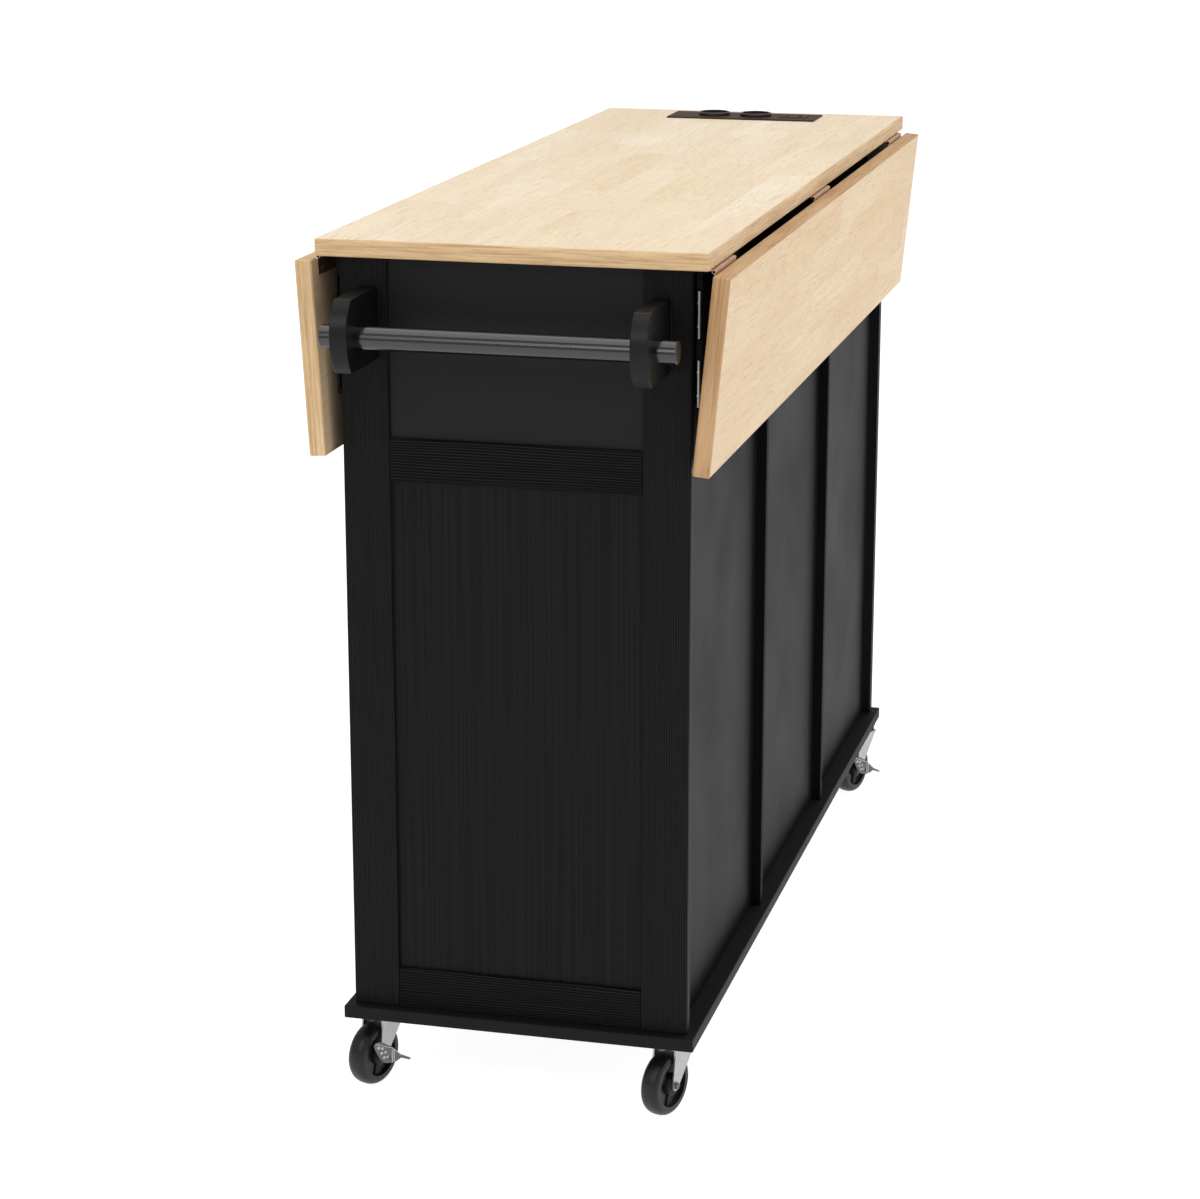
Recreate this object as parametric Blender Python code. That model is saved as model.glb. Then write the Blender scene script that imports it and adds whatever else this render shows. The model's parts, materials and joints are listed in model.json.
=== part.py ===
"""Rolling kitchen cart: butcher-block top with two drop leaves over a black cabinet on casters.

Metres, +Z up, floor at z = 0.  +X is the end with the towel rail, +Y the back with the three
recessed panels, -Y the front with the doors and drawers.  The leaves hang down at rest.
"""
import math

import bmesh
import bpy
from mathutils import Matrix, Vector

# ---------------------------------------------------------------- driving dimensions (metres)
GAP = 0.0003                 # air left between pieces that touch
TOP_L, TOP_W, TOP_T = 1.230, 0.410, 0.018
HEIGHT = 0.940               # worktop surface above the floor
Z_UNDER = HEIGHT - TOP_T     # underside of the worktop
LEAF_W = 0.204
LEAF_GAP = 0.003             # joint between worktop and a raised leaf
BACK_LEAN, FRONT_LEAN = 5.5, 3.2   # degrees the hanging leaves tuck in under the top
HINGE_DROP = 0.0026          # hinge axis below the underside of the worktop
HINGE_X = (0.550, 0.010, -0.530)
HINGE_LEN, HINGE_R = 0.100, 0.0022

BASE_L, BASE_W, BASE_T = 1.219, 0.388, 0.014
Z_BASE = 0.088               # underside of the base plate
Z_FLOOR = Z_BASE + BASE_T    # inside floor of the cabinet
CAB_L, CAB_W = 1.196, 0.369
END_T, STRIP_T = 0.011, 0.004
STILE_W, RAIL_W = 0.050, 0.045
MID_RAIL_Z = 0.688
PART_T, BACK_T, BACK_INSET = 0.012, 0.006, 0.011
FRONT_T = 0.015
Z_FRONTS = 0.7015            # top of doors and drawers, clear below the hanging leaf
SHELF_Z, SHELF_T = 0.400, 0.012

RAIL_Z, RAIL_REACH, RAIL_SHOULDER = 0.8530, 0.100, 0.083
BRACKET_H, BRACKET_T, BRACKET_Y = 0.075, 0.0183, 0.1537
BAR_R, BAR_L, BAR_X, BAR_Y, BAR_Z = 0.0122, 0.368, 0.0665, 0.002, 0.8496

STRIP_L, STRIP_W, STRIP_X = 0.200, 0.070, -0.550
SOCKET_R, SOCKET_RISE = 0.0213, 0.0045

CASTER_X, CASTER_Y = 0.5515, 0.1645
FAR_CASTER_X, FAR_CASTER_Y = 0.5600, 0.1750
TRAIL, CASTER_YAW = 0.025, -20.0
WHEEL_R, WHEEL_W = 0.035, 0.022

X_END = CAB_L / 2                                   # outer face of the end frames
X_SHIFT = -(X_END + RAIL_REACH - TOP_L / 2) / 2     # puts the origin at the middle of the box

for old in list(bpy.data.objects):
    bpy.data.objects.remove(old, do_unlink=True)


# ---------------------------------------------------------------- helpers
def material(name, color, rough, metal=0.0):
    mat = bpy.data.materials.new(name)
    mat.use_nodes = True
    bsdf = mat.node_tree.nodes["Principled BSDF"]
    bsdf.inputs["Base Color"].default_value = (*color, 1.0)
    bsdf.inputs["Roughness"].default_value = rough
    bsdf.inputs["Metallic"].default_value = metal
    return mat


OAK = ("light oak butcher block", (0.80, 0.63, 0.41), 0.5)
BLACK = ("black wood board", (0.025, 0.025, 0.026), 0.45)
BASE_BLACK = ("black base board", (0.035, 0.035, 0.036), 0.4)
STEEL = ("zinc plated steel", (0.62, 0.62, 0.63), 0.3, 1.0)
BRONZE = ("bronzed hinge steel", (0.45, 0.33, 0.25), 0.35, 1.0)
RUBBER = ("black wheel", (0.03, 0.03, 0.032), 0.6)
PLASTIC = ("dark brown plastic", (0.05, 0.035, 0.03), 0.4)
SATIN = ("satin black metal", (0.04, 0.04, 0.042), 0.3, 0.6)


def finish(bm, name, look, origin=(0, 0, 0), bevel=0.0, smooth=False):
    """Turn cart-frame geometry into a named object whose origin is the given cart-frame point."""
    bmesh.ops.remove_doubles(bm, verts=bm.verts, dist=1e-6)
    bmesh.ops.recalc_face_normals(bm, faces=bm.faces)
    org = Vector(origin)
    bmesh.ops.translate(bm, verts=bm.verts, vec=-org)
    mesh = bpy.data.meshes.new(name)
    bm.to_mesh(mesh)
    bm.free()
    ob = bpy.data.objects.new(name, mesh)
    bpy.context.scene.collection.objects.link(ob)
    ob.location = org + Vector((X_SHIFT, 0, 0))
    mesh.materials.append(material(name + " " + look[0], *look[1:]))
    if bevel:
        mod = ob.modifiers.new("edge", "BEVEL")
        mod.width, mod.segments, mod.limit_method = bevel, 1, "ANGLE"
    if smooth:
        mesh.shade_smooth()
        mesh.set_sharp_from_angle(angle=math.radians(35))
    return ob


def boxed(bm, x, y, z):
    """Add an axis-aligned block spanning the given (low, high) pairs."""
    made = bmesh.ops.create_cube(bm, size=1.0)["verts"]
    size = [b - a for a, b in (x, y, z)]
    mid = [(a + b) / 2 for a, b in (x, y, z)]
    bmesh.ops.scale(bm, verts=made, vec=size)
    bmesh.ops.translate(bm, verts=made, vec=mid)
    return made


def block(name, look, x, y, z, **kw):
    bm = bmesh.new()
    boxed(bm, x, y, z)
    return finish(bm, name, look, **kw)


def prism(bm, outline, low, high, place):
    """Extrude a closed 2-D outline between two levels; place(u, v, w) gives the 3-D point."""
    lo = [bm.verts.new(place(u, v, low)) for u, v in outline]
    hi = [bm.verts.new(place(u, v, high)) for u, v in outline]
    bm.faces.new(lo[::-1])
    bm.faces.new(hi)
    n = len(outline)
    for i in range(n):
        bm.faces.new((lo[i], lo[(i + 1) % n], hi[(i + 1) % n], hi[i]))


def lathe(bm, profile, centre, axis, steps=32):
    """Revolve (radius, height) pairs about an axis; the profile starts and ends on the axis
    or forms a closed ring around it."""
    axis = Vector(axis).normalized()
    side = axis.orthogonal().normalized()
    other = axis.cross(side)
    rings = []
    for r, h in profile:
        if r < 1e-9:
            rings.append([bm.verts.new(Vector(centre) + axis * h)])
        else:
            rings.append([bm.verts.new(Vector(centre) + axis * h
                          + (side * math.cos(a) + other * math.sin(a)) * r)
                          for a in (2 * math.pi * i / steps for i in range(steps))])
    closed = len(rings[0]) > 1
    pairs = list(zip(rings, rings[1:])) + ([(rings[-1], rings[0])] if closed else [])
    for a, b in pairs:
        for i in range(steps):
            j = (i + 1) % steps
            if len(a) == 1:
                bm.faces.new((a[0], b[j], b[i]))
            elif len(b) == 1:
                bm.faces.new((a[i], a[j], b[0]))
            else:
                bm.faces.new((a[i], a[j], b[j], b[i]))


def rod(bm, start, end, r, steps=24):
    axis = Vector(end) - Vector(start)
    lathe(bm, [(0, 0), (r, 0), (r, axis.length), (0, axis.length)], start, axis, steps)


def helper(bm, name):
    """A shape used only to add to or cut from another one."""
    ob = finish(bm, name, BLACK)
    ob.hide_render = True
    ob.display_type = "WIRE"
    return ob


def combine(ob, bm, name, how):
    mod = ob.modifiers.new(name, "BOOLEAN")
    mod.operation, mod.solver = how, "EXACT"
    mod.object = helper(bm, name)


def arc(cx, cy, r, a0, a1, n):
    return [(cx + r * math.cos(math.radians(a0 + (a1 - a0) * i / n)),
             cy + r * math.sin(math.radians(a0 + (a1 - a0) * i / n))) for i in range(n + 1)]


# ---------------------------------------------------------------- worktop and drop leaves
top = block("worktop", OAK, (-TOP_L / 2, TOP_L / 2), (-TOP_W / 2, TOP_W / 2), (Z_UNDER, HEIGHT),
            bevel=0.0012)
cut = bmesh.new()
boxed(cut, (STRIP_X - 0.029, STRIP_X + 0.029), (-0.096, 0.096), (Z_UNDER - 0.01, HEIGHT + 0.01))
combine(top, cut, "strip cut-out", "DIFFERENCE")

for label, side, lean in (("back", 1, BACK_LEAN), ("front", -1, FRONT_LEAN)):
    axis_y = side * (TOP_W / 2 + LEAF_GAP / 2)
    axis_z = Z_UNDER - HINGE_DROP
    root = side * (TOP_W / 2 + LEAF_GAP)
    bm = bmesh.new()
    boxed(bm, (-TOP_L / 2, TOP_L / 2), sorted((root, root + side * LEAF_W)), (Z_UNDER, HEIGHT))
    swing = Matrix.Rotation(math.radians(-side * (90 + lean)), 3, "X")
    bmesh.ops.rotate(bm, verts=bm.verts, cent=(0, axis_y, axis_z), matrix=swing)
    finish(bm, label + "_leaf", OAK, origin=(0, axis_y, axis_z), bevel=0.0012)
    for where, x in zip(("near", "middle", "far"), HINGE_X):
        ends = (x - HINGE_LEN / 2, x + HINGE_LEN / 2)
        inner = side * (CAB_W / 2 + 0.0025)
        bm = bmesh.new()
        boxed(bm, ends, sorted((inner, axis_y)), (Z_UNDER - GAP - 0.0016, Z_UNDER - GAP))
        ob = finish(bm, f"{label}_leaf_hinge_{where}", BRONZE, smooth=True)
        bm = bmesh.new()
        rod(bm, (ends[0], axis_y, axis_z), (ends[1], axis_y, axis_z), HINGE_R, 16)
        combine(ob, bm, f"{label} {where} barrel", "UNION")

# ---------------------------------------------------------------- cabinet carcass
block("base_plate", BASE_BLACK, (-BASE_L / 2, BASE_L / 2), (-BASE_W / 2, BASE_W / 2),
      (Z_BASE, Z_FLOOR), bevel=0.0008)

low, high = Z_FLOOR + GAP, Z_UNDER - GAP
board_x = X_END - STRIP_T - GAP                      # outer face of the end boards
inner_x = board_x - END_T                            # inner face of the end boards
for label, side in (("near", 1), ("far", -1)):
    block(label + "_end_board", BLACK, sorted((side * inner_x, side * board_x)),
          (-CAB_W / 2, CAB_W / 2), (low, high), bevel=0.0006)
    strip_x = sorted((side * (X_END - STRIP_T), side * X_END))
    for which, s in (("front", -1), ("back", 1)):
        block(f"{label}_end_{which}_stile", BLACK, strip_x,
              sorted((s * (CAB_W / 2 - STILE_W), s * CAB_W / 2)), (low, high), bevel=0.0006)
    rail_y = CAB_W / 2 - STILE_W - GAP
    for which, z in (("bottom", low), ("middle", MID_RAIL_Z)):
        block(f"{label}_end_{which}_rail", BLACK, strip_x, (-rail_y, rail_y),
              (z, z + RAIL_W), bevel=0.0006)

bay = (2 * inner_x - 2 * PART_T) / 3                 # clear width of each of the three bays
part_x = bay / 2                                     # partition face on the middle bay's side
front_y = CAB_W / 2 - FRONT_T                        # back of the doors, measured from the middle
back_out = CAB_W / 2 - BACK_INSET
for label, side in (("near", 1), ("far", -1)):
    block(label + "_partition", BLACK, sorted((side * part_x, side * (part_x + PART_T))),
          (-front_y + GAP, CAB_W / 2), (low, high), bevel=0.0006)
bays = (("near", part_x + PART_T, inner_x), ("middle", -part_x, part_x),
        ("far", -inner_x, -part_x - PART_T))
for label, x0, x1 in bays:
    block(label + "_back_panel", BLACK, (x0 + GAP, x1 - GAP), (back_out - BACK_T, back_out),
          (low, high))
block("front_apron", BLACK, (-inner_x + GAP, inner_x - GAP), (-CAB_W / 2, -front_y),
      (Z_FRONTS + 0.0035, high), bevel=0.0006)
for label, x0, x1 in (bays[0], bays[2]):
    block(label + "_shelf", BLACK, (x0 + GAP, x1 - GAP),
          (-front_y + 0.010, back_out - BACK_T - GAP), (SHELF_Z, SHELF_Z + SHELF_T), bevel=0.0006)


# ---------------------------------------------------------------- doors, drawers and knobs
def knob(name, x, z, origin=None):
    bm = bmesh.new()
    lathe(bm, [(0, 0), (0.006, 0), (0.005, 0.009), (0.012, 0.013), (0.0135, 0.018), (0.011, 0.022),
               (0, 0.022)], (x, -CAB_W / 2 - GAP, z), (0, -1, 0), 28)
    finish(bm, name, SATIN, origin=origin or (x, -CAB_W / 2 - GAP, z), smooth=True)


for label, side in (("near", 1), ("far", -1)):
    hinge_x = side * (inner_x - 0.0015)
    pin = (hinge_x, -CAB_W / 2, Z_FLOOR)
    free_x = side * (part_x + PART_T / 2 + 0.0015)
    block(label + "_door", BLACK, sorted((hinge_x, free_x)), (-CAB_W / 2, -front_y - GAP),
          (Z_FLOOR + 0.003, Z_FRONTS), origin=pin, bevel=0.0008)
    knob(label + "_door_knob", free_x + side * 0.030, 0.600, origin=pin)

half = (Z_FRONTS - Z_FLOOR - 0.006) / 2
for label, z0 in (("lower", Z_FLOOR + 0.003), ("upper", Z_FLOOR + 0.006 + half)):
    wide = part_x + PART_T / 2 - 0.0015
    mid = (0, -CAB_W / 2, z0 + half / 2)
    ob = block(label + "_drawer", BLACK, (-wide, wide), (-CAB_W / 2, -front_y - GAP),
               (z0, z0 + half), origin=mid)
    bm = bmesh.new()
    boxed(bm, (-part_x + 0.008, part_x - 0.008), (-front_y - 0.006, 0.152),
          (z0 + 0.020, z0 + 0.235))
    combine(ob, bm, label + " drawer body", "UNION")
    bm = bmesh.new()
    boxed(bm, (-part_x + 0.018, part_x - 0.018), (-front_y + 0.006, 0.142),
          (z0 + 0.028, z0 + 0.300))
    combine(ob, bm, label + " drawer inside", "DIFFERENCE")
    knob(label + "_drawer_knob", 0.0, z0 + half / 2)

# ---------------------------------------------------------------- swing-out leaf supports
for label, side in (("back", 1), ("front", -1)):
    for where, end in (("near", 1), ("far", -1)):
        y0 = side * (CAB_W / 2 + 0.0018)
        y1 = side * (CAB_W / 2 + 0.0078)
        z0, z1 = 0.7745, Z_UNDER - GAP - 0.0025
        outline = [(end * 0.586, z0), (end * 0.586, z1), (end * 0.406, z1), (end * 0.406, z1 - 0.025),
                   (end * 0.540, z0)]
        bm = bmesh.new()
        prism(bm, outline, y0, y1, lambda u, v, w: (u, w, v))
        ob = finish(bm, f"{label}_leaf_support_{where}", BLACK, smooth=True)
        for k, z in enumerate((z0 + 0.002, z0 + 0.073)):
            bm = bmesh.new()
            rod(bm, (end * 0.588, side * (CAB_W / 2 + 0.0050), z),
                (end * 0.588, side * (CAB_W / 2 + 0.0050), z + 0.050), 0.0029, 16)
            combine(ob, bm, f"{label} {where} knuckle {k}", "UNION")

# ---------------------------------------------------------------- towel rail on the near end
for label, side in (("front", -1), ("back", 1)):
    z0, z1 = RAIL_Z - BRACKET_H / 2, RAIL_Z + BRACKET_H / 2
    sag = RAIL_REACH - RAIL_SHOULDER
    bow = (BRACKET_H ** 2 / 4 + sag ** 2) / (2 * sag)         # radius of the curved front edge
    spread = math.degrees(math.asin(BRACKET_H / 2 / bow))
    curve = arc(X_END + RAIL_REACH - bow, RAIL_Z, bow, -spread, spread, 14)
    soft = 0.005                                              # rounding of its two front corners
    low_end, high_end = curve[0], curve[-1]
    outline = ([(X_END + GAP, z1), (X_END + GAP, z0), (low_end[0] - soft, z0),
                (low_end[0] - soft * 0.3, z0 + soft * 0.25)] + curve[1:-1]
               + [(high_end[0] - soft * 0.3, z1 - soft * 0.25), (high_end[0] - soft, z1)])
    bm = bmesh.new()
    prism(bm, outline, side * BRACKET_Y - BRACKET_T / 2, side * BRACKET_Y + BRACKET_T / 2,
          lambda u, v, w: (u, w, v))
    ob = finish(bm, label + "_rail_bracket", BLACK, smooth=True)
    bm = bmesh.new()
    rod(bm, (X_END + BAR_X, side * BRACKET_Y - 0.03, BAR_Z),
        (X_END + BAR_X, side * BRACKET_Y + 0.03, BAR_Z), BAR_R + 0.0004, 32)
    combine(ob, bm, label + " bracket bore", "DIFFERENCE")
bm = bmesh.new()
lathe(bm, [(0, 0), (BAR_R - 0.001, 0), (BAR_R, 0.001), (BAR_R, BAR_L - 0.001),
           (BAR_R - 0.001, BAR_L), (0, BAR_L)],
      (X_END + BAR_X, BAR_Y - BAR_L / 2, BAR_Z), (0, 1, 0), 32)
finish(bm, "towel_bar", SATIN, smooth=True)

# ---------------------------------------------------------------- power strip in the worktop
deck = HEIGHT + 0.002
bm = bmesh.new()
boxed(bm, (STRIP_X - STRIP_W / 2, STRIP_X + STRIP_W / 2), (-STRIP_L / 2, STRIP_L / 2),
      (HEIGHT + GAP, deck))
ob = finish(bm, "power_strip_housing", PLASTIC)
bm = bmesh.new()
boxed(bm, (STRIP_X - 0.0285, STRIP_X + 0.0285), (-0.0955, 0.0955), (0.890, deck - 0.0005))
combine(ob, bm, "strip body", "UNION")
sockets = (("first", -0.042), ("second", 0.015))
for label, y in sockets:
    bm = bmesh.new()
    rod(bm, (STRIP_X, y, deck - 0.018), (STRIP_X, y, deck + 0.01), SOCKET_R - 0.0015, 32)
    combine(ob, bm, label + " socket bore", "DIFFERENCE")
bm = bmesh.new()
boxed(bm, (STRIP_X - 0.016, STRIP_X + 0.016), (0.048, 0.086), (deck - 0.010, deck + 0.01))
combine(ob, bm, "charger pocket", "DIFFERENCE")
for label, y in sockets:
    r, top_z = SOCKET_R, deck + SOCKET_RISE
    bm = bmesh.new()
    lathe(bm, [(0, deck - 0.0177), (r - 0.002, deck - 0.0177), (r - 0.002, deck + GAP), (r, deck + GAP),
               (r, top_z - 0.0015), (r - 0.001, top_z), (r - 0.0035, top_z),
               (r - 0.0045, deck - 0.010), (0, deck - 0.010)], (STRIP_X, y, 0), (0, 0, 1), 32)
    ob = finish(bm, label + "_socket", PLASTIC, smooth=True)
    for k, dy in enumerate((-0.0095, 0.0095)):
        bm = bmesh.new()
        rod(bm, (STRIP_X, y + dy, deck - 0.015), (STRIP_X, y + dy, deck), 0.0025, 12)
        combine(ob, bm, f"{label} pin hole {k}", "DIFFERENCE")
bm = bmesh.new()
boxed(bm, (STRIP_X - 0.0155, STRIP_X + 0.0155), (0.0485, 0.0855), (deck - 0.0095, deck + 0.0008))
ob = finish(bm, "usb_charger_insert", PLASTIC)
for k, y in enumerate((0.058, 0.076)):
    bm = bmesh.new()
    boxed(bm, (STRIP_X - 0.0065, STRIP_X + 0.0065), (y - 0.0019, y + 0.0019), (deck - 0.006, deck + 0.01))
    combine(ob, bm, f"usb port {k}", "DIFFERENCE")

# ---------------------------------------------------------------- casters
yaw = math.radians(CASTER_YAW)
ROLL = Vector((math.cos(yaw), math.sin(yaw), 0))     # from the swivel axis towards the axle
AXLE = Vector((-math.sin(yaw), math.cos(yaw), 0))    # along the axle, towards the back


def caster(label, cx, cy, brake):
    swivel = Vector((cx, cy, 0))
    hub = swivel + ROLL * TRAIL + Vector((0, 0, WHEEL_R))

    def place(u, v, w):
        return swivel + ROLL * u + AXLE * w + Vector((0, 0, v))

    leg_in, leg_out, crown = WHEEL_W / 2 + 0.0015, WHEEL_W / 2 + 0.0035, 0.080
    head_out = leg_out + 0.0015
    bm = bmesh.new()
    prism(bm, [(-0.0205, crown - 0.002), (0.031, crown - 0.002), (0.031, crown), (-0.0205, crown)],
          -leg_out, leg_out, place)
    ob = finish(bm, label + "_caster_fork", STEEL, origin=swivel + Vector((0, 0, Z_BASE)),
                smooth=True)
    leg = [(0.025, crown - 0.0005), (-0.019, crown - 0.0005)] + arc(TRAIL, WHEEL_R, 0.0058, 215, 360, 10)
    for k, s in enumerate((-1, 1)):
        bm = bmesh.new()
        prism(bm, leg, *sorted((s * leg_in, s * leg_out)), place)
        combine(ob, bm, f"{label} fork leg {k}", "UNION")
    bm = bmesh.new()
    rod(bm, swivel + Vector((0, 0, crown - 0.001)), swivel + Vector((0, 0, Z_BASE - GAP)), 0.0165, 28)
    combine(ob, bm, label + " swivel bearing", "UNION")
    bm = bmesh.new()
    lathe(bm, [(0, -head_out), (0.0045, -head_out), (0.0045, -leg_in - 0.001), (0.003, -leg_in - 0.001),
               (0.003, leg_in + 0.001), (0.0045, leg_in + 0.001), (0.0045, head_out), (0, head_out)],
          hub, AXLE, 20)
    combine(ob, bm, label + " axle", "UNION")

    r, w = WHEEL_R, WHEEL_W / 2
    bm = bmesh.new()
    tread = [(0.0034, 0), (0.0115, 0), (0.0125, 0.005), (r - 0.0115, 0.005), (r - 0.0105, 0),
             (r - 0.0055, 0.0002), (r - 0.0028, 0.0016), (r - 0.0012, 0.0038), (r - 0.0003, 0.0066),
             (r, 0.0090)]
    lathe(bm, [(a, b - w) for a, b in tread] + [(a, w - b) for a, b in reversed(tread)],
          hub, AXLE, 40)
    finish(bm, label + "_caster_wheel", RUBBER, origin=hub, smooth=True)

    if brake:
        turn = Matrix.Rotation(math.radians(-25), 3, "Z")
        face, right = turn @ AXLE, turn @ -ROLL       # pedal faces out past the cabinet corner
        centre = hub + AXLE * 0.0255

        def pedal(u, v, w):
            return centre + right * u + face * w + Vector((0, 0, v))

        outline = [(-0.0222, 0.0185), (-0.0200, 0.0215), (-0.0160, 0.0215), (-0.0090, 0.0187),
                   (0.0000, 0.0125), (0.0085, 0.0038), (0.0115, 0.0010), (0.0224, -0.0052),
                   (0.0216, -0.0072), (0.0106, -0.0025), (0.0054, -0.0052), (0.0000, -0.0060),
                   (-0.0085, -0.0045), (-0.0125, -0.0020), (-0.0168, 0.0045), (-0.0212, 0.0140)]
        bm = bmesh.new()
        prism(bm, outline, -0.001, 0.001, pedal)
        ob = finish(bm, label + "_brake_lever", STEEL, origin=hub)
        bm = bmesh.new()
        rod(bm, hub + AXLE * (head_out + GAP), hub + AXLE * 0.0255, 0.004, 16)
        combine(ob, bm, label + " lever boss", "UNION")


for label, ex, ey, brake in (("near_front", 1, -1, True), ("near_back", 1, 1, False),
                             ("far_front", -1, -1, False), ("far_back", -1, 1, True)):
    cx, cy = (CASTER_X, CASTER_Y) if ex > 0 else (FAR_CASTER_X, FAR_CASTER_Y)
    caster(label, ex * cx, ey * cy, brake)
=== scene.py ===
"""Looks for the rolling kitchen cart: materials, small fittings, lights and camera."""
import json
import math

import bmesh
import bpy
from mathutils import Matrix, Vector


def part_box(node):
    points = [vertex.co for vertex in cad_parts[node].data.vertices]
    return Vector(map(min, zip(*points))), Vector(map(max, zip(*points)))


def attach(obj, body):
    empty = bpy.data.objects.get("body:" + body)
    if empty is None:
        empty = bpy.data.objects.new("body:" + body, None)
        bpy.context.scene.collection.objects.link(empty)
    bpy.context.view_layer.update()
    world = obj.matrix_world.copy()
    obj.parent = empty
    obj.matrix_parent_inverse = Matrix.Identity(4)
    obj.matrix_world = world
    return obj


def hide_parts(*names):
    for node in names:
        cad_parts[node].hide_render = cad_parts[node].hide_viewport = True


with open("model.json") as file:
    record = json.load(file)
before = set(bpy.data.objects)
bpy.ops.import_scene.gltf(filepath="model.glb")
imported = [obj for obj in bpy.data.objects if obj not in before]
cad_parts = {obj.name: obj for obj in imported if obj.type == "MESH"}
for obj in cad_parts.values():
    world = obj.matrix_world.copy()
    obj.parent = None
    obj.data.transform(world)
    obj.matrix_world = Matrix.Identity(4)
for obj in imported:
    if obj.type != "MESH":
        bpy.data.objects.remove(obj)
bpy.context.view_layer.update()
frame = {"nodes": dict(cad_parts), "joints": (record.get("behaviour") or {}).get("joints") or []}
NODES = frame["nodes"]
JOINTS = {j["name"]: j for j in frame["joints"]}


# ---------------------------------------------------------------- node graph helpers
class Graph:
    """Short notation for building one material's node tree."""

    def __init__(self, name):
        self.mat = bpy.data.materials.new(name)
        self.mat.use_nodes = True
        self.tree = self.mat.node_tree
        self.tree.nodes.clear()
        out = self.tree.nodes.new("ShaderNodeOutputMaterial")
        self.bsdf = self.tree.nodes.new("ShaderNodeBsdfPrincipled")
        self.tree.links.new(self.bsdf.outputs[0], out.inputs["Surface"])

    def node(self, kind, ins=None, **props):
        n = self.tree.nodes.new(kind)
        for key, value in props.items():
            setattr(n, key, value)
        for key, value in (ins or {}).items():
            self.put(value, n.inputs[key])
        return n

    def put(self, value, socket):
        if isinstance(value, bpy.types.NodeSocket):
            self.tree.links.new(value, socket)
        else:
            socket.default_value = value

    def coords(self):
        return self.node("ShaderNodeTexCoord").outputs["Object"]

    def scaled(self, vec, scale, offset=(0, 0, 0)):
        return self.node("ShaderNodeMapping", {"Vector": vec, "Scale": scale, "Location": offset}).outputs[0]

    def noise(self, vec, scale, detail=4.0, rough=0.55, distort=0.0):
        return self.node("ShaderNodeTexNoise", {"Vector": vec, "Scale": scale, "Detail": detail,
                                                "Roughness": rough, "Distortion": distort}).outputs[0]

    def math(self, op, a, b=0.0, c=0.0):
        return self.node("ShaderNodeMath", {0: a, 1: b, 2: c}, operation=op).outputs[0]

    def remap(self, value, lo, hi, to_lo=0.0, to_hi=1.0):
        return self.node("ShaderNodeMapRange", {"Value": value, "From Min": lo, "From Max": hi,
                                                "To Min": to_lo, "To Max": to_hi}).outputs[0]

    def mix(self, fac, a, b):
        n = self.node("ShaderNodeMix", data_type="RGBA")
        self.put(fac, n.inputs[0])
        self.put(a, n.inputs[6])
        self.put(b, n.inputs[7])
        return n.outputs[2]

    def bump(self, height, strength, distance):
        return self.node("ShaderNodeBump", {"Height": height, "Strength": strength,
                                            "Distance": distance}).outputs[0]

    def set(self, **ins):
        names = {"color": "Base Color", "rough": "Roughness", "metal": "Metallic", "normal": "Normal",
                 "spec": "Specular IOR Level"}
        for key, value in ins.items():
            self.put(value, self.bsdf.inputs[names[key]])
        return self.mat


def srgb(r, g, b):
    """An sRGB 0-255 colour as linear RGBA."""
    def lin(c):
        c /= 255
        return c / 12.92 if c <= 0.04045 else ((c + 0.055) / 1.055) ** 2.4
    return (lin(r), lin(g), lin(b), 1.0)


# ---------------------------------------------------------------- butcher block
STAVE_W = 0.051          # width of one stave
STAVE_L = 0.34           # length of one stave
LEAF_TURN = {"back": -95.5, "front": 93.2}     # degrees each leaf hangs, seen from the worktop's plane
LEAF_SHADE_TINT = (0.90, 0.805, 0.68)                # painted shade: the hanging leaves' copy of the block is tinted darker and browner than the worktop's
BACK_EDGE_TONE = (0.74, 0.65, 0.57)


def block_coords(g, leaf):
    """Object coordinates, with a hanging leaf's turned back up, so its pattern runs on from the worktop's."""
    if leaf is None:
        return g.coords()
    hinge = JOINTS[leaf + "_leaf_fold"]["pos_m"]
    return g.node("ShaderNodeVectorRotate", {"Vector": g.coords(), "Center": hinge, "Axis": (1, 0, 0),
                                             "Angle": math.radians(-LEAF_TURN[leaf])},
                  rotation_type="AXIS_ANGLE").outputs[0]


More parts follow.
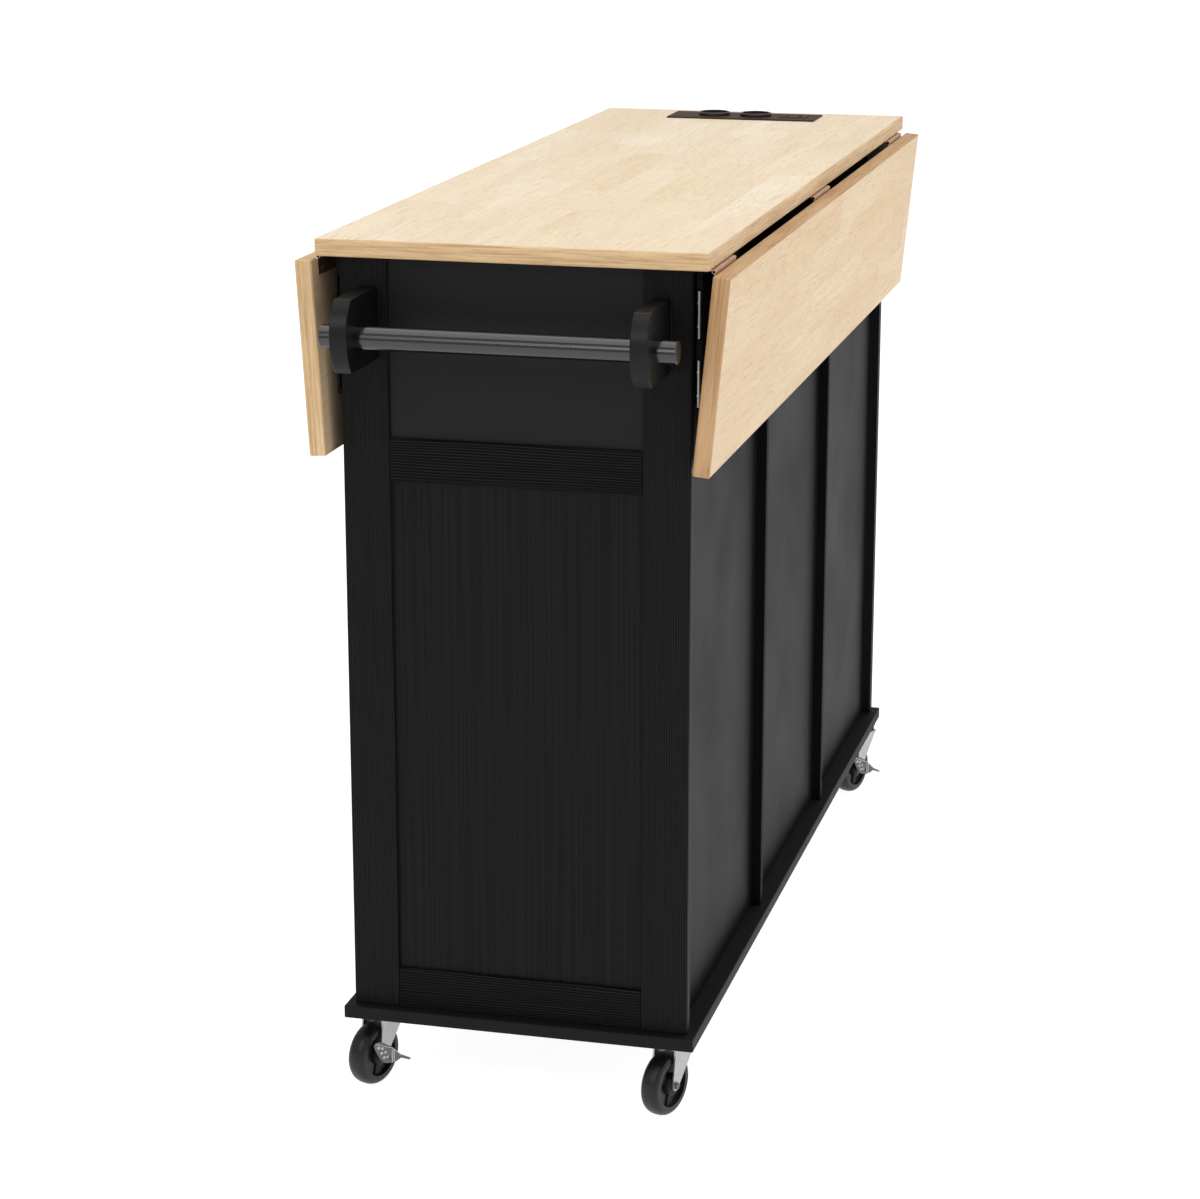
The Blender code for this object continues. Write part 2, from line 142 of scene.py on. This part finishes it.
def butcher_block(name, leaf=None, tint=(1.0, 1.0, 1.0)):
    """Foil printed as finger-jointed oak staves laid along X, seen on the flat faces."""
    g = Graph(name)
    vec = block_coords(g, leaf)
    sep = g.node("ShaderNodeSeparateXYZ", {0: vec})
    x, y = sep.outputs[0], sep.outputs[1]
    row = g.math("FLOOR", g.math("DIVIDE", g.math("ADD", y, 10.0 * STAVE_W), STAVE_W))
    row_rand = g.node("ShaderNodeTexWhiteNoise", {"W": row}, noise_dimensions="1D").outputs[0]
    along = g.math("DIVIDE", g.math("ADD", x, g.math("MULTIPLY", row_rand, 3.0)), STAVE_L)
    col = g.math("FLOOR", along)
    cell = g.node("ShaderNodeCombineXYZ", {0: col, 1: row, 2: 0.37}).outputs[0]
    rand = g.node("ShaderNodeTexWhiteNoise", {"Vector": cell}, noise_dimensions="3D")
    r1 = rand.outputs[0]
    r3 = g.node("ShaderNodeSeparateColor", {0: rand.outputs[1]})

    # each stave samples its own piece of wood
    jump = g.node("ShaderNodeVectorMath", {0: rand.outputs[1], 1: (7.0, 5.0, 3.0)},
                  operation="MULTIPLY").outputs[0]
    own = g.node("ShaderNodeVectorMath", {0: vec, 1: jump}, operation="ADD").outputs[0]
    broad = g.noise(g.scaled(own, (2.2, 16, 16)), 1.0, 3, 0.5, 0.6)
    figure = g.noise(g.scaled(own, (5.0, 34, 34)), 1.0, 2, 0.5, 1.6)
    rings = g.math("SINE", g.math("MULTIPLY", figure, 42.0))
    streak = g.noise(g.scaled(own, (9, 260, 260)), 1.0, 4, 0.6)
    pores = g.noise(g.scaled(own, (30, 640, 640)), 1.0, 2, 0.5)

    light, mid, deep, pore = (tuple(c * t for c, t in zip(srgb(*shade), tint)) + (1.0,) for shade in (
        (234, 221, 199), (228, 210, 181), (211, 182, 143), (176, 136, 92)))
    color = g.mix(g.remap(r1, 0.0, 1.0, 0.0, 1.0), light, mid)
    color = g.mix(g.remap(broad, 0.35, 0.75, 0.0, 0.45), color, deep)
    ring_amount = g.math("MULTIPLY", g.remap(rings, 0.1, 1.0, 0.0, 0.34), g.remap(r3.outputs[1], 0.3, 1.0))
    color = g.mix(ring_amount, color, deep)
    color = g.mix(g.remap(streak, 0.52, 0.75, 0.0, 0.42), color, deep)
    color = g.mix(g.remap(pores, 0.585, 0.66, 0.0, 0.36), color, pore)

    # hairline joints between staves
    fy = g.math("FRACT", g.math("DIVIDE", g.math("ADD", y, 10.0 * STAVE_W), STAVE_W))
    fx = g.math("FRACT", along)
    ey = g.math("MINIMUM", fy, g.math("SUBTRACT", 1.0, fy))
    ex = g.math("MINIMUM", fx, g.math("SUBTRACT", 1.0, fx))
    line = g.math("MAXIMUM", g.remap(ey, 0.0, 0.012, 1.0, 0.0), g.remap(ex, 0.0, 0.0016, 1.0, 0.0))
    color = g.mix(g.math("MULTIPLY", line, 0.42), color, deep)

    rough = g.remap(streak, 0.3, 0.8, 0.42, 0.56)
    normal = g.bump(g.math("ADD", g.math("MULTIPLY", pores, 0.6), streak), 0.25, 0.0003)
    return g.set(color=color, rough=rough, normal=normal, spec=0.35)


def oak_edge(name, leaf=None, tone=(1.0, 1.0, 1.0)):
    """Edge band: darker oak print whose grain follows the edge."""
    def rgb(r, g, b):
        return tuple(c * t for c, t in zip(srgb(r, g, b), tone)) + (1.0,)

    g = Graph(name)
    vec = block_coords(g, leaf)
    swirl = g.noise(g.scaled(vec, (6, 6, 60)), 1.0, 2, 0.5, 0.8)
    lines = g.noise(g.scaled(vec, (10, 10, 420)), 1.0, 4, 0.62, 0.5)
    specks = g.noise(g.scaled(vec, (60, 60, 1400)), 1.0, 2, 0.5)
    color = g.mix(g.remap(swirl, 0.35, 0.7), rgb(222, 192, 150), rgb(204, 170, 124))
    color = g.mix(g.remap(lines, 0.45, 0.70, 0.0, 0.75), color, rgb(172, 132, 88))
    color = g.mix(g.remap(specks, 0.58, 0.75, 0.0, 0.5), color, rgb(140, 102, 66))
    return g.set(color=color, rough=0.5, spec=0.3, normal=g.bump(lines, 0.3, 0.0003))


def face_split(ob, flat_mat, edge_mat, up):
    """Flat faces take one material and the narrow edges the other."""
    ob.data.materials.clear()
    ob.data.materials.append(flat_mat)
    ob.data.materials.append(edge_mat)
    for p in ob.data.polygons:
        p.material_index = 0 if abs(p.normal.dot(up)) > 0.85 else 1


def leaf_normal(turn):
    return Matrix.Rotation(math.radians(turn), 3, "X") @ Vector((0, 0, 1))


face_split(NODES["worktop"], butcher_block("oak_block_top"), oak_edge("oak_edge_top"), Vector((0, 0, 1)))
face_split(NODES["back_leaf"], butcher_block("oak_block_back", "back", LEAF_SHADE_TINT),
           oak_edge("oak_edge_back", "back", BACK_EDGE_TONE), leaf_normal(LEAF_TURN["back"]))
face_split(NODES["front_leaf"], butcher_block("oak_block_front", "front", LEAF_SHADE_TINT),
           oak_edge("oak_edge_front", "front"), leaf_normal(LEAF_TURN["front"]))


# ---------------------------------------------------------------- black boards
def black_board(name, grain, depth=1.0, tone=1.0, pitch=0.0023, offset=(0, 0, 0), spec=0.14):
    """Black foil embossed with long open grain along one axis ('x', 'y' or 'z')."""
    g = Graph(name)
    vec = g.scaled(g.coords(), (1, 1, 1), offset)

    def along(cross, length):
        return {"x": (length, cross, cross), "y": (cross, length, cross), "z": (cross, cross, length)}[grain]

    sep = g.node("ShaderNodeSeparateXYZ", {0: vec}).outputs
    across = {"x": g.math("ADD", sep[2], sep[1]), "y": sep[2], "z": g.math("ADD", sep[0], sep[1])}[grain]
    sway = g.noise(g.scaled(vec, along(30, 2.4)), 1.0, 2, 0.5)
    wide = g.noise(g.scaled(vec, along(70, 3.0)), 1.0, 1, 0.5)
    hair = g.noise(g.scaled(vec, along(1.6 / pitch, 12)), 1.0, 2, 0.5)
    phase = g.math("ADD", g.math("MULTIPLY", across, 2 * math.pi / pitch), g.math("MULTIPLY", sway, 26.0))
    wave = g.math("MULTIPLY", g.math("SINE", phase), g.remap(wide, 0.35, 0.60, 0.25, 1.0))
    groove = g.remap(g.math("ADD", wave, g.math("MULTIPLY", hair, 1.1)), 0.85, -0.15)
    base = 0.0045 * tone
    low, high = (base * (1.0 - 0.9 * min(depth, 1.0)),) * 3 + (1,), (base * (1.0 + 1.3 * depth),) * 3 + (1,)
    color = g.mix(groove, low, high)
    rough = g.remap(groove, 0.0, 1.0, 0.68, 0.50)
    return g.set(color=color, rough=rough, normal=g.bump(groove, 0.9 * depth, 0.0007), spec=spec)


MID_RAIL_TOP = 0.7105    # height where the end board's grain turns from upright to level


def end_board(name):
    """End panel: fine upright grain below the middle rail, faint level grain above it."""
    g = Graph(name)
    vec = g.coords()
    upright = g.noise(g.scaled(vec, (440, 440, 2.4)), 1.0, 2, 0.6, 0.25)
    level = g.noise(g.scaled(vec, (6, 6, 230)), 1.0, 3, 0.6, 0.6)
    above = g.remap(g.node("ShaderNodeSeparateXYZ", {0: vec}).outputs[2], MID_RAIL_TOP, MID_RAIL_TOP + 0.0005)
    print_ = g.mix(above, g.remap(upright, 0.44, 0.58), g.remap(level, 0.40, 0.66, 0.35, 0.9))
    color = g.mix(print_, (0.0018, 0.0018, 0.0018, 1), (0.0050, 0.0050, 0.0051, 1))
    rough = g.remap(above, 0.0, 1.0, 0.56, 0.43)
    color = g.mix(g.math("MULTIPLY", above, 0.6), color, (0.0130, 0.0130, 0.0131, 1))
    return g.set(color=color, rough=rough, normal=g.bump(print_, 0.30, 0.0004), spec=0.14)


def assign(mat, *names):
    for n in names:
        NODES[n].data.materials.clear()
        NODES[n].data.materials.append(mat)


for end in ("near", "far"):
    for k, part in enumerate(("front_stile", "back_stile")):
        assign(black_board(f"black_{end}_{part}", "z", 0.8, offset=(0, 0.31 * k, 0.2)), f"{end}_end_{part}")
    for k, part in enumerate(("bottom_rail", "middle_rail")):
        assign(black_board(f"black_{end}_{part}", "y", 1.3, 0.95, 0.0029, (0, 0.2 * k, 0.4 * k), 0.09),
               f"{end}_end_{part}")
    assign(end_board(f"black_{end}_board"), f"{end}_end_board")
    assign(black_board(f"black_{end}_door", "z", 0.5, offset=(0.3, 0, 0)), end + "_door")
assign(black_board("black_partition", "z", 0.3, spec=0.05), "near_partition", "far_partition")
assign(black_board("black_apron", "x", 0.5), "front_apron", "near_shelf", "far_shelf")
assign(black_board("black_drawers", "x", 0.5, offset=(0, 0, 0.3)), "lower_drawer", "upper_drawer")
assign(black_board("black_base", "x", 0.3, 1.5), "base_plate")


def back_board(name):
    """Smooth melamine back: a faint vertical print under a soft sheen."""
    g = Graph(name)
    vec = g.coords()
    print_ = g.noise(g.scaled(vec, (140, 140, 6)), 1.0, 3, 0.6)
    cloud = g.noise(vec, 9.0, 2)
    color = g.mix(g.remap(print_, 0.35, 0.7), (0.0055, 0.0055, 0.0055, 1), (0.0085, 0.0085, 0.0085, 1))
    rough = g.remap(cloud, 0.3, 0.7, 0.38, 0.44)
    return g.set(color=color, rough=rough, normal=g.bump(print_, 0.10, 0.0003), spec=0.02)


assign(back_board("black_back"), "near_back_panel", "middle_back_panel", "far_back_panel")


# ---------------------------------------------------------------- metals, rubber, plastic
def metal(name, color, rough, scratch=40.0, metallic=1.0):
    g = Graph(name)
    vec = g.coords()
    cloud = g.noise(vec, scratch * 3, 3)
    grit = g.noise(vec, 2200.0, 2)
    tint = g.mix(g.remap(cloud, 0.3, 0.7), tuple(c * 0.82 for c in color[:3]) + (1,), color)
    return g.set(color=tint, rough=g.remap(cloud, 0.3, 0.7, rough * 0.8, rough * 1.25), metal=metallic,
                 normal=g.bump(grit, 0.08, 0.0001))


def moulded(name, color, rough, grain=1500.0, depth=0.12, spec=0.35):
    g = Graph(name)
    vec = g.coords()
    grit = g.noise(vec, grain, 3)
    cloud = g.noise(vec, 30.0, 2)
    tint = g.mix(g.remap(cloud, 0.3, 0.7), tuple(c * 0.8 for c in color[:3]) + (1,), color)
    return g.set(color=tint, rough=g.remap(grit, 0.3, 0.7, rough * 0.9, rough * 1.1),
                 normal=g.bump(grit, depth, 0.0002), spec=spec)


ZINC = metal("zinc_steel", srgb(181, 181, 183), 0.33)
BRONZE = metal("bronze_steel", srgb(216, 184, 162), 0.42)
# near-black steel for the caster top plates; also used as painted shade on the front supports' pins and on
# the hinge pins seen in the gaps between knuckles
DARK_STEEL_AND_SHADE = metal("dark_steel_and_painted_shade", srgb(34, 32, 31), 0.4)
PRESSED = metal("pressed_steel", srgb(106, 106, 107), 0.28)
TYRE = moulded("wheel_rubber", srgb(20, 18, 17), 0.41, 700.0, 0.18)
HUB = moulded("wheel_hub", srgb(15, 15, 15), 0.5, spec=0.2)
BROWN = moulded("strip_plastic", srgb(68, 47, 37), 0.55, spec=0.12)
RING = moulded("ring_plastic", srgb(38, 27, 22), 0.28)
BAR = moulded("satin_black_bar", srgb(6, 6, 6), 0.15, 400.0, 0.03, 0.8)
PAINT = moulded("satin_black_paint", srgb(13, 13, 13), 0.38, 500.0, 0.08, 0.22)

CASTERS = ("near_front", "near_back", "far_front", "far_back")
BRAKED = ("near_front", "far_back")
for c in CASTERS:
    assign(ZINC, c + "_caster_fork")
    assign(TYRE, c + "_caster_wheel")
assign(PRESSED, *(c + "_brake_lever" for c in BRAKED))
assign(PAINT, "front_rail_bracket", "back_rail_bracket")
assign(BROWN, "power_strip_housing", "usb_charger_insert")
assign(RING, "first_socket", "second_socket")
assign(BAR, "towel_bar", "near_door_knob", "far_door_knob", "lower_drawer_knob", "upper_drawer_knob")
for side in ("back", "front"):
    for end in ("near", "far"):
        assign(black_board(f"black_support_{side}_{end}", "x", 0.5), f"{side}_leaf_support_{end}")
    for end in ("near", "middle", "far"):
        assign(BRONZE, f"{side}_leaf_hinge_{end}")


# ---------------------------------------------------------------- mesh helpers for the fittings
def prism(bm, outline, low, high, place):
    lo = [bm.verts.new(place(u, v, low)) for u, v in outline]
    hi = [bm.verts.new(place(u, v, high)) for u, v in outline]
    bm.faces.new(lo[::-1])
    bm.faces.new(hi)
    for i in range(len(outline)):
        j = (i + 1) % len(outline)
        bm.faces.new((lo[i], lo[j], hi[j], hi[i]))


def lathe(bm, profile, centre, axis, steps=24):
    """Revolve (radius, height) pairs that begin and end on the axis, or close a ring round it."""
    axis = Vector(axis).normalized()
    side = axis.orthogonal().normalized()
    other = axis.cross(side)
    rings = []
    for r, h in profile:
        mid = Vector(centre) + axis * h
        if r < 1e-9:
            rings.append([bm.verts.new(mid)])
            continue
        turns = (2 * math.pi * i / steps for i in range(steps))
        rings.append([bm.verts.new(mid + (side * math.cos(a) + other * math.sin(a)) * r) for a in turns])
    pairs = list(zip(rings, rings[1:])) + ([(rings[-1], rings[0])] if len(rings[0]) > 1 else [])
    for a, b in pairs:
        for i in range(steps):
            j = (i + 1) % steps
            corners = [a[0] if len(a) == 1 else a[i], a[j] if len(a) > 1 else None,
                       b[j] if len(b) > 1 else b[0], b[i] if len(b) > 1 else None]
            bm.faces.new([c for c in corners if c is not None])


def screw(bm, place, normal, r=0.0035):
    """A countersunk cross-head screw, standing 0.4 mm proud."""
    n = Vector(normal).normalized()
    lathe(bm, [(0, -0.0006), (r, -0.0006), (r, 0.0001), (r * 0.75, 0.0004), (r * 0.3, 0.0003),
               (r * 0.2, -0.0002), (0, -0.0002)], place, n, 14)


def rounded(w, h, r, n=4):
    """Corner-rounded rectangle outline centred on the origin."""
    pts = []
    for cx, cy, a in ((1, 1, 0), (-1, 1, 90), (-1, -1, 180), (1, -1, 270)):
        for i in range(n + 1):
            t = math.radians(a + 90 * i / n)
            pts.append((cx * (w / 2 - r) + r * math.cos(t), cy * (h / 2 - r) + r * math.sin(t)))
    return pts


def piece(name, bm, mats, body, replaces=(), bevel=0.0, smooth=30):
    bmesh.ops.remove_doubles(bm, verts=bm.verts, dist=1e-6)
    bmesh.ops.recalc_face_normals(bm, faces=bm.faces)
    mesh = bpy.data.meshes.new(name)
    bm.to_mesh(mesh)
    bm.free()
    ob = bpy.data.objects.new(name, mesh)
    bpy.context.scene.collection.objects.link(ob)
    for m in (mats if isinstance(mats, (list, tuple)) else [mats]):
        mesh.materials.append(m)
    if bevel:
        mod = ob.modifiers.new("edge", "BEVEL")
        mod.width, mod.segments, mod.limit_method = bevel, 2, "ANGLE"
    mesh.shade_smooth()
    mesh.set_sharp_from_angle(angle=math.radians(smooth))
    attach(ob, body)
    if replaces:
        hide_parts(*replaces)
    return ob


# ---------------------------------------------------------------- leaf hinges
KNUCKLES, KNUCKLE_R, KNUCKLE_GAP = 9, 0.0022, 0.0007     # gap: cut from each end of a knuckle
PIN_R, BORE_R = 0.0014, 0.0015
PLATE_W, PLATE_T = 0.0190, 0.0012
for side, sign in (("back", 1), ("front", -1)):
    axis = Vector(JOINTS[side + "_leaf_fold"]["pos_m"])
    hang = Matrix.Rotation(math.radians(LEAF_TURN[side]), 3, "X")
    for where in ("near", "middle", "far"):
        lo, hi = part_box(f"{side}_leaf_hinge_{where}")
        x0, x1 = lo.x, hi.x
        step = (x1 - x0) / KNUCKLES
        pin = Vector((0, axis.y, axis.z))
        core, fixed, swung = bmesh.new(), bmesh.new(), bmesh.new()
        # near-black pin: the dark seen in the gaps between the knuckles is painted shade
        lathe(core, [(0, 0.0002), (PIN_R, 0.0002), (PIN_R, x1 - x0 - 0.0002), (0, x1 - x0 - 0.0002)],
              pin + Vector((x0, 0, 0)), (1, 0, 0), 12)
        piece(f"{side}_hinge_{where}_core", core, DARK_STEEL_AND_SHADE, "cart")
        for k in range(KNUCKLES):
            bm, r = swung if k % 2 else fixed, KNUCKLE_R
            a, b = x0 + k * step + KNUCKLE_GAP, x0 + (k + 1) * step - KNUCKLE_GAP
            lathe(bm, [(BORE_R, 0), (r - 0.0003, 0), (r, 0.0003), (r, b - a - 0.0003), (r - 0.0003, b - a),
                       (BORE_R, b - a)], pin + Vector((a, 0, 0)), (1, 0, 0), 16)
        mid_x = (x0 + x1) / 2
        for bm, bend, out in ((fixed, None, -1), (swung, hang, 1)):
            before = set(bm.verts)
            mid_y = axis.y + sign * out * (PLATE_W / 2 + 0.0005)
            prism(bm, [(mid_x + u, mid_y + v) for u, v in rounded(x1 - x0 - 0.001, PLATE_W, 0.0025)],
                  axis.z + 0.0021 - PLATE_T, axis.z + 0.0021, lambda u, v, w: (u, v, w))
            for k in (-0.36, 0.0, 0.36):
                screw(bm, (mid_x + k * (x1 - x0), mid_y + sign * out * 0.003, axis.z + 0.0021 - PLATE_T),
                      (0, 0, -1), 0.003)
            fresh = [v for v in bm.verts if v not in before]
            if bend is not None:
                bmesh.ops.rotate(bm, verts=fresh, cent=axis, matrix=bend)
        piece(f"{side}_hinge_{where}_fixed", fixed, BRONZE, "cart",
              replaces=[f"{side}_leaf_hinge_{where}"])
        piece(f"{side}_hinge_{where}_swung", swung, BRONZE, side + "_leaf")

# ---------------------------------------------------------------- pins of the swing-out supports
for side, sign in (("back", 1), ("front", -1)):
    for where, end in (("near", 1), ("far", -1)):
        lo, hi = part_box(f"{side}_leaf_support_{where}")
        edge = hi.x if end > 0 else lo.x
        face = lo.y if sign > 0 else hi.y
        bm = bmesh.new()
        for z0, z1 in ((lo.z + 0.0060, lo.z + 0.0540), (lo.z + 0.0760, lo.z + 0.1240)):
            prism(bm, [(edge - end * 0.0008 + u, face + sign * 0.0036 + v)
                       for u, v in rounded(0.0042, 0.0034, 0.0016)], z0, z1, lambda u, v, w: (u, v, w))
            for z in (z0 + 0.012, z1 - 0.012):
                screw(bm, (edge + end * 0.0013, face + sign * 0.0036, z), (end, 0, 0), 0.0015)
        # painted shade: the front supports' pins take the near-black steel for the shade under the hanging
        # front leaf, while the back pins stay zinc
        piece(f"{side}_support_pin_{where}", bm, ZINC if side == "back" else DARK_STEEL_AND_SHADE, "cart")

# ---------------------------------------------------------------- caster top plates and wheel ribs
TOP_PLATE = (0.046, 0.036)
PLATE_SCREW = (0.018, 0.0130)     # the plate's screws, from its middle
WEBS = 3
for c in CASTERS:
    swivel = Vector(JOINTS[c + "_swivel"]["pos_m"])
    bm = bmesh.new()
    prism(bm, [(swivel.x + u, swivel.y + v) for u, v in rounded(*TOP_PLATE, 0.005)],
          swivel.z - 0.0022, swivel.z - 0.0004, lambda u, v, w: (u, v, w))
    lathe(bm, [(0, 0), (0.0185, 0), (0.0195, 0.0015), (0.0195, 0.003), (0, 0.003)],
          swivel - Vector((0, 0, 0.0052)), (0, 0, 1), 32)
    for u in (-PLATE_SCREW[0], PLATE_SCREW[0]):
        for v in (-PLATE_SCREW[1], PLATE_SCREW[1]):
            screw(bm, (swivel.x + u, swivel.y + v, swivel.z - 0.0022), (0, 0, -1), 0.0032)
    piece(c + "_top_plate", bm, DARK_STEEL_AND_SHADE, "cart")

    hub = Vector(JOINTS[c + "_wheel_spin"]["pos_m"])
    axle = Vector(JOINTS[c + "_wheel_spin"]["axis"]).normalized()
    out = axle.cross(Vector((0, 0, 1))).normalized()
    bm = bmesh.new()
    for face in (-1, 1):
        for k in range(WEBS):                          # broad webs deep inside the recess
            t = 2 * math.pi * (k + 0.3) / WEBS
            ray = out * math.cos(t) + Vector((0, 0, 1)) * math.sin(t)
            across = axle.cross(ray)
            prism(bm, [(0.0118, -0.0042), (0.0242, -0.0060), (0.0242, 0.0060), (0.0118, 0.0042)],
                  0.0058 * face, 0.0078 * face,
                  lambda u, v, w: hub + ray * u + across * v + axle * w)
        lathe(bm, [(0.0042, 0.0100), (0.0105, 0.0100), (0.0105, 0.0116), (0.0096, 0.0120), (0.0042, 0.0120)],
              hub, axle * face, 28)
    piece(c + "_wheel_web", bm, HUB, c + "_wheel", bevel=0.0004)

    bm = bmesh.new()
    for face in (-1, 1):                               # peened ends of the axle
        lathe(bm, [(0, 0.0158), (0.0038, 0.0158), (0.0036, 0.0171), (0.0028, 0.0175), (0.0020, 0.0171),
                   (0, 0.0171)], hub, axle * face, 20)
    piece(c + "_axle_ends", bm, PRESSED, c + "_swivel")

# ---------------------------------------------------------------- brake levers
LEVER_YAW, LEVER_OUT = -25, 0.0255     # how the pedal faces off the axle's line, and how far out it sits
for c in BRAKED:
    hub = Vector(JOINTS[c + "_wheel_spin"]["pos_m"])
    axle = Vector(JOINTS[c + "_wheel_spin"]["axis"]).normalized()
    turn = Matrix.Rotation(math.radians(LEVER_YAW), 3, "Z")
    face, right = turn @ axle, turn @ axle.cross(Vector((0, 0, 1))) * -1
    centre = hub + axle * LEVER_OUT

    def pedal(u, v, w):
        return centre + right * u + face * w + Vector((0, 0, v))

    bm = bmesh.new()
    for u in (-0.0004, 0.0018):                        # folded ridge down the plate
        prism(bm, [(u - 0.0007, -0.0050), (u + 0.0007, -0.0050), (u + 0.0007, 0.0105), (u - 0.0007, 0.0105)],
              0.0009, 0.0018, pedal)
    for u, v, r in ((-0.0165, 0.0150, 0.0022), (-0.0120, 0.0135, 0.0020), (-0.0130, 0.0080, 0.0020),
                    (-0.0085, 0.0085, 0.0018), (-0.0100, 0.0025, 0.0020), (-0.0060, 0.0025, 0.0016)):
        lathe(bm, [(0, 0.0009), (r, 0.0009), (r * 0.8, 0.0015), (r * 0.4, 0.0013), (0, 0.0013)],
              centre + right * u + Vector((0, 0, v)), face, 14)
    for a, b in (((-0.0200, 0.0205), (0.0000, 0.0118)), ((0.0000, 0.0118), (0.0112, 0.0007))):
        along = Vector(b) - Vector(a)                  # turned-over upper edge
        off = Vector((-along.y, along.x)).normalized() * 0.0006
        a, b = Vector(a), Vector(b)
        prism(bm, [tuple(a - off), tuple(b - off), tuple(b + off), tuple(a + off)], 0.0009, 0.0019, pedal)
    piece(c + "_lever_ribs", bm, ZINC, c + "_brake", bevel=0.0003)

# ---------------------------------------------------------------- towel rail brackets
SOFT, SAG = 0.006, 0.017     # length of the eased corner, and how far the front bulges
for side in ("front", "back"):
    lo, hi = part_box(side + "_rail_bracket")
    mid, half = (lo.z + hi.z) / 2, (hi.z - lo.z) / 2
    bow = (half ** 2 + SAG ** 2) / (2 * SAG)
    spread = math.asin((half - 0.0015) / bow)
    front = [(hi.x - bow + bow * math.cos(t), mid + bow * math.sin(t))
             for t in (spread * (k / 16 - 1) for k in range(33))]
    u, v = front[-1]
    corner = [(u - 0.0004, v + 0.0006), (u - 0.0012, v + 0.0011), (u - 0.0026, v + 0.0014),
              (u - SOFT, mid + half)]
    outline = ([(lo.x, hi.z), (lo.x, lo.z)] + [(a, 2 * mid - b) for a, b in reversed(corner)]
               + front + corner)
    bm = bmesh.new()
    prism(bm, outline, lo.y, hi.y, lambda u, v, w: (u, w, v))
    piece(side + "_bracket_body", bm, PAINT, "cart", [side + "_rail_bracket"], 0.0009, 40)

# ---------------------------------------------------------------- framed fronts of doors and drawers
FRAME_W, FRAME_T = 0.045, 0.003
for node in ("near_door", "far_door", "lower_drawer", "upper_drawer"):
    lo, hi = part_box(node)
    face = lo.y - 0.0001
    x0, x1 = lo.x + 0.001, hi.x - 0.001
    low, top = lo.z + 0.001, hi.z - 0.001
    for tag, spans, grain in (
            ("stiles", [((x0, x0 + FRAME_W), (low, top)), ((x1 - FRAME_W, x1), (low, top))], "z"),
            ("rails", [((x0 + FRAME_W, x1 - FRAME_W), (low, low + FRAME_W)),
                       ((x0 + FRAME_W, x1 - FRAME_W), (top - FRAME_W, top))], "x")):
        bm = bmesh.new()
        for (a, b), (c, d) in spans:
            prism(bm, [(a, c), (b, c), (b, d), (a, d)], face - FRAME_T, face, lambda u, v, w: (u, w, v))
        piece(f"{node}_{tag}", bm, black_board(f"black_{node}_{tag}", grain, 0.8), node,
              bevel=0.0006)


# ---------------------------------------------------------------- stage, light and camera
def stage_material():
    g = Graph("studio_floor")
    vec = g.coords()
    g.bsdf.inputs["Emission Color"].default_value = (1, 1, 1, 1)
    g.bsdf.inputs["Emission Strength"].default_value = 0.93
    return g.set(color=g.mix(g.noise(vec, 3.0), (0.34, 0.34, 0.34, 1), (0.36, 0.36, 0.36, 1)),
                 rough=0.9, spec=0.0)


mesh = bpy.data.meshes.new("studio_floor")
FLOOR = 14.0
mesh.from_pydata([(-FLOOR, -FLOOR, 0), (FLOOR, -FLOOR, 0), (FLOOR, FLOOR, 0), (-FLOOR, FLOOR, 0)], [],
                 [(0, 1, 2, 3)])
floor = bpy.data.objects.new("studio_floor", mesh)
floor.location = (0, 0, -0.0004)
bpy.context.scene.collection.objects.link(floor)
mesh.materials.append(stage_material())

world = bpy.data.worlds.new("studio")
bpy.context.scene.world = world
world.use_nodes = True
wt = world.node_tree
bg_cam = wt.nodes["Background"]
bg_cam.inputs[0].default_value = (1, 1, 1, 1)
bg_cam.inputs[1].default_value = 1.05
bg_lit = wt.nodes.new("ShaderNodeBackground")
bg_lit.inputs[0].default_value = (1, 1, 1, 1)
bg_lit.inputs[1].default_value = 0.55
path = wt.nodes.new("ShaderNodeLightPath")
mixer = wt.nodes.new("ShaderNodeMixShader")
wt.links.new(path.outputs["Is Camera Ray"], mixer.inputs[0])
wt.links.new(bg_lit.outputs[0], mixer.inputs[1])
wt.links.new(bg_cam.outputs[0], mixer.inputs[2])
wt.links.new(mixer.outputs[0], wt.nodes["World Output"].inputs["Surface"])


def soft_box(name, place, target, size, watts):
    light = bpy.data.lights.new(name, "AREA")
    light.shape, light.size, light.size_y = "RECTANGLE", size[0], size[1]
    light.energy = watts
    ob = bpy.data.objects.new(name, light)
    ob.location = place
    ob.rotation_euler = (Vector(target) - Vector(place)).to_track_quat("-Z", "Y").to_euler()
    bpy.context.scene.collection.objects.link(ob)


soft_box("overhead", (0.2, 0.3, 3.4), (0, 0, 0), (4.5, 4.0), 74)
soft_box("back_side", (-0.3, 3.6, 1.5), (-0.1, 0, 0.6), (3.6, 2.6), 20)
soft_box("near_end_fill", (4.0, -1.4, 2.9), (0.5, 0, 0.7), (2.2, 0.9), 34)

camera = bpy.data.cameras.new("photo_camera")
camera.sensor_width = 36.0
camera.lens = 92.74
cam = bpy.data.objects.new("photo_camera", camera)
cam.location = (3.526, 0.8449, 1.4161)
look = Vector((-0.93464, -0.23762, -0.26456))
cam.rotation_euler = (look.to_track_quat("-Z", "Y")).to_euler()
bpy.context.scene.collection.objects.link(cam)
bpy.context.scene.camera = cam
bpy.context.scene.view_settings.view_transform = "Standard"
